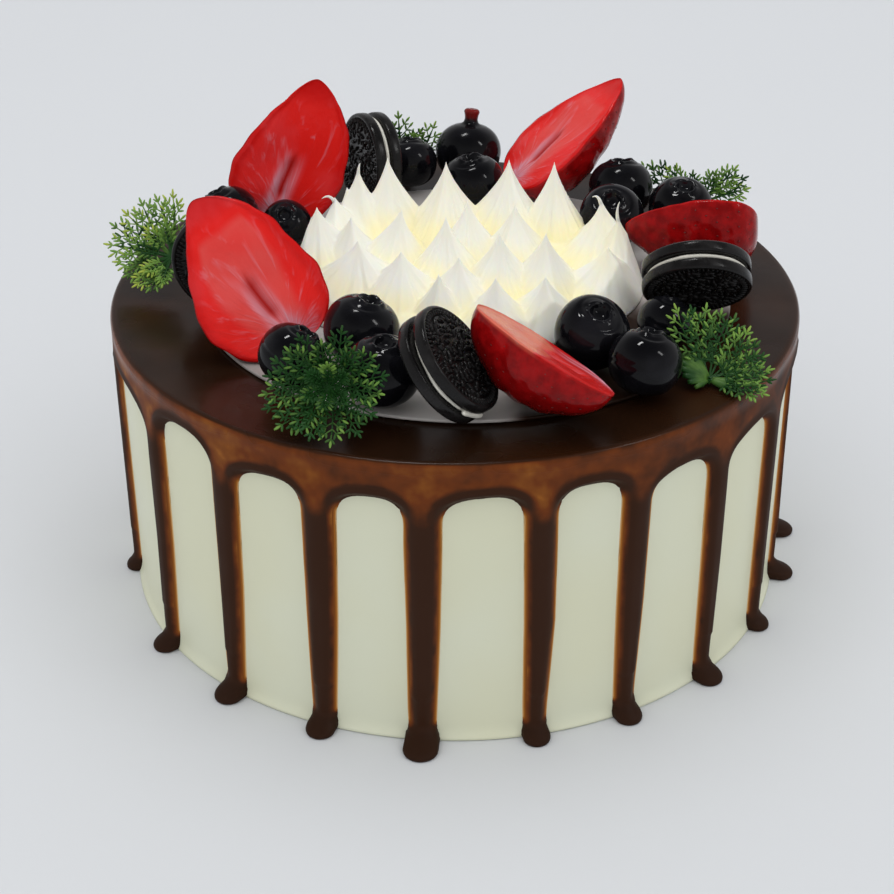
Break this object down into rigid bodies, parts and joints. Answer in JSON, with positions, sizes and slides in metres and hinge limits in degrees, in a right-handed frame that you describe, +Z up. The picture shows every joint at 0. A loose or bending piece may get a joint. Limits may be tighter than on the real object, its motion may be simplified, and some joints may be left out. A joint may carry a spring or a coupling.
{
  "type": "drip cake",
  "caption": "Round cream-coated drip cake with glossy chocolate drips, topped with cream peaks, strawberry halves, blueberries, mini sandwich cookies and green sprigs.",
  "frame": {"origin": "on the cake's axis, in the plane of its flat base", "axes": "+Z up along the cake's axis, -Y towards the front, +X to the right seen from the front"},
  "size_m": [0.1711, 0.1726, 0.1093],
  "materials": {
    "cream_coat": "satin cream coating",
    "chocolate": "high-gloss dark chocolate",
    "white_disc": "satin off-white",
    "piped_cream": "satin warm white cream",
    "strawberry": "glossy red",
    "wafer": "matt black biscuit",
    "filling": "satin off-white",
    "blueberry": "glossy blue-black",
    "leaf": "glossy green"
  },
  "bodies": {
    "root": {"cake_body": "cream_coat", "chocolate_icing": "chocolate", "topping_disc": "white_disc", "cream_peaks": "piped_cream", "strawberry_back_left": "strawberry", "strawberry_left": "strawberry", "strawberry_back_right": "strawberry", "strawberry_right": "strawberry", "strawberry_front": "strawberry", "cookie_back_left_wafer_front": "wafer", "cookie_back_left_filling": "filling", "cookie_back_left_wafer_back": "wafer", "cookie_left_wafer_front": "wafer", "cookie_left_filling": "filling", "cookie_left_wafer_back": "wafer", "cookie_front_wafer_front": "wafer", "cookie_front_filling": "filling", "cookie_front_wafer_back": "wafer", "cookie_right_wafer_front": "wafer", "cookie_right_filling": "filling", "cookie_right_wafer_back": "wafer", "blueberry_left_back": "blueberry", "blueberry_left_inner": "blueberry", "blueberry_front_inner": "blueberry", "blueberry_front_left": "blueberry", "blueberry_front_outer": "blueberry", "blueberry_right_inner": "blueberry", "blueberry_right_front": "blueberry", "blueberry_right_low": "blueberry", "blueberry_back_right_outer": "blueberry", "blueberry_back_right_inner": "blueberry", "blueberry_back_right_end": "blueberry", "blueberry_back_outer": "blueberry", "blueberry_back_inner": "blueberry", "blueberry_back_middle": "blueberry", "sprig_left": "leaf", "sprig_front": "leaf", "sprig_right": "leaf", "sprig_back_right": "leaf", "sprig_back": "leaf"}
  },
  "joints": []
}
